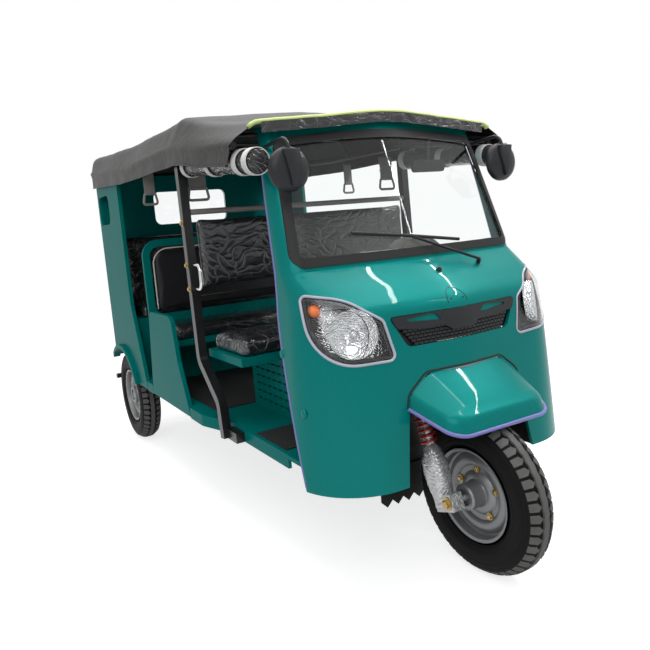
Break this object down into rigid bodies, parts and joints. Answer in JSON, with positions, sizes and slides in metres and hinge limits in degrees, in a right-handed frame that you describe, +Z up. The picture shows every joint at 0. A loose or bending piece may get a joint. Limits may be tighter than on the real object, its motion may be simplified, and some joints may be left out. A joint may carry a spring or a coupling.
{
  "type": "auto rickshaw",
  "caption": "Passenger tricycle with a rounded cowl and windscreen, open sides, bench seats under a soft canopy roof, a steered front wheel on a fork and driven rear wheels.",
  "frame": {"origin": "on the ground below the middle of the vehicle's box", "axes": "+X to the vehicle's left, +Y to the rear, +Z up"},
  "size_m": [1.244, 2.94, 1.758],
  "materials": {
    "teal_paint": "gloss metallic",
    "black_steel": "satin",
    "engine_iron": "as cast",
    "black_rubber": "matte",
    "black_plastic": "satin",
    "grey_plastic": "grained",
    "clear_glass": "clear",
    "lamp_shell": "bright metallised",
    "lamp_lens": "clear",
    "red_lens": "gloss",
    "chrome_tube": "polished",
    "red_spring": "gloss",
    "black_vinyl": "soft sheen",
    "canopy_vinyl": "matte coated cloth",
    "white_strap": "woven",
    "tyre_rubber": "matte",
    "grey_rim": "satin silver"
  },
  "bodies": {
    "body": {"front_cowl": "teal_paint", "roof_header": "teal_paint", "windscreen_seal": "black_rubber", "windscreen_glass": "clear_glass", "front_grille": "black_plastic", "headlamp_housings": "lamp_shell", "headlamp_lenses": "lamp_lens", "front_mudguard": "teal_paint", "wheel_housing": "black_steel", "floor_pan": "teal_paint", "floor_mats": "black_rubber", "chassis_frame": "black_steel", "side_panels": "teal_paint", "quarter_panels": "teal_paint", "rear_wheel_housings": "black_steel", "rear_wall": "teal_paint", "rear_window": "clear_glass", "post_frame": "black_steel", "grab_handles": "chrome_tube", "driver_backrest": "black_vinyl", "driver_seat_box": "teal_paint", "driver_cushion": "black_vinyl", "engine_block": "engine_iron", "mid_bench_frame": "teal_paint", "mid_cushion": "black_vinyl", "mid_backrest": "black_vinyl", "rear_seat_box": "teal_paint", "rear_cushion": "black_vinyl", "rear_backrest": "black_vinyl", "roof_frame": "black_steel", "roof_canopy": "canopy_vinyl", "curtain_rolls": "canopy_vinyl", "curtain_straps": "white_strap", "mirrors": "black_plastic", "wiper": "black_rubber", "dashboard": "grey_plastic", "mud_flap": "black_rubber", "rear_axle": "black_steel", "leaf_springs": "black_steel", "drive_shaft": "black_steel", "exhaust": "black_steel", "rear_bumper": "black_steel", "tail_lamps": "red_lens"},
    "steering": {"fork": "black_steel", "fork_springs": "red_spring", "handlebar": "black_steel"},
    "front_wheel": {"front_tyre": "tyre_rubber", "front_rim": "grey_rim"},
    "rear_wheel_right": {"rear_right_tyre": "tyre_rubber", "rear_right_rim": "grey_rim"},
    "rear_wheel_left": {"rear_left_tyre": "tyre_rubber", "rear_left_rim": "grey_rim"}
  },
  "joints": [
    {"name": "steer", "type": "hinge", "parent": "body", "child": "steering", "pos_m": [0, -1.122, 0.272], "axis": [0, 0.309, 0.9511], "range_deg": [-35, 35]},
    {"name": "front_spin", "type": "hinge", "parent": "steering", "child": "front_wheel", "pos_m": [0, -1.182, 0.272], "axis": [1, 0, 0], "continuous": true},
    {"name": "rear_right_spin", "type": "hinge", "parent": "body", "child": "rear_wheel_right", "pos_m": [-0.53, 1.182, 0.272], "axis": [1, 0, 0], "continuous": true},
    {"name": "rear_left_spin", "type": "hinge", "parent": "body", "child": "rear_wheel_left", "pos_m": [0.53, 1.182, 0.272], "axis": [1, 0, 0], "continuous": true}
  ]
}
